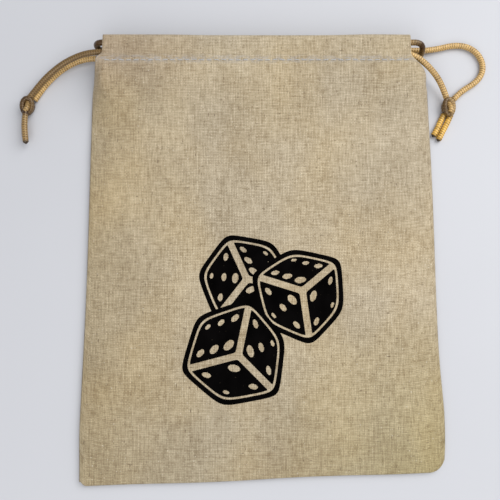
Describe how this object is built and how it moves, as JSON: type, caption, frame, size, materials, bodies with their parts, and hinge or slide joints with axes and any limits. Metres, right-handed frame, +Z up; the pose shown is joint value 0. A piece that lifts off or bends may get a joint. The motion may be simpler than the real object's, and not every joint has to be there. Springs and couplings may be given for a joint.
{
  "type": "drawstring dice bag",
  "caption": "Flat natural-linen drawstring pouch with a stitched cord channel at the mouth, knotted drawcords at both sides and a printed dice motif.",
  "frame": {"origin": "on the surface that the bag lies on, under the middle of the cloth bag's outline", "axes": "+X across the bag to the right seen from above, +Y towards the mouth, +Z up out of the printed front"},
  "size_m": [0.2105, 0.1944, 0.0136],
  "materials": {
    "linen": "natural undyed plain-weave linen, matt",
    "thread": "pale sewing thread",
    "ink": "flat black screen-print ink in the weave",
    "cord": "golden-brown braided satin cord"
  },
  "bodies": {
    "bag": {"back_panel": "linen", "front_panel": "linen", "back_casing": "linen", "front_casing": "linen", "front_casing_stitches": "thread", "back_casing_stitches": "thread", "left_side_seam": "linen", "right_side_seam": "linen", "bottom_seam": "linen", "dice_print": "ink"},
    "left_drawcord": {"left_cord": "cord", "left_knot": "cord", "left_tail_upper": "cord", "left_tail_lower": "cord"},
    "right_drawcord": {"right_cord": "cord", "right_knot": "cord", "right_tail_inner": "cord", "right_tail_outer": "cord"}
  },
  "joints": [
    {"name": "left_cord_pull", "type": "slide", "parent": "bag", "child": "left_drawcord", "axis": [-1, 0, 0], "range_m": [0, 0.004]},
    {"name": "right_cord_pull", "type": "slide", "parent": "bag", "child": "right_drawcord", "axis": [1, 0, 0], "range_m": [0, 0.0012]}
  ]
}
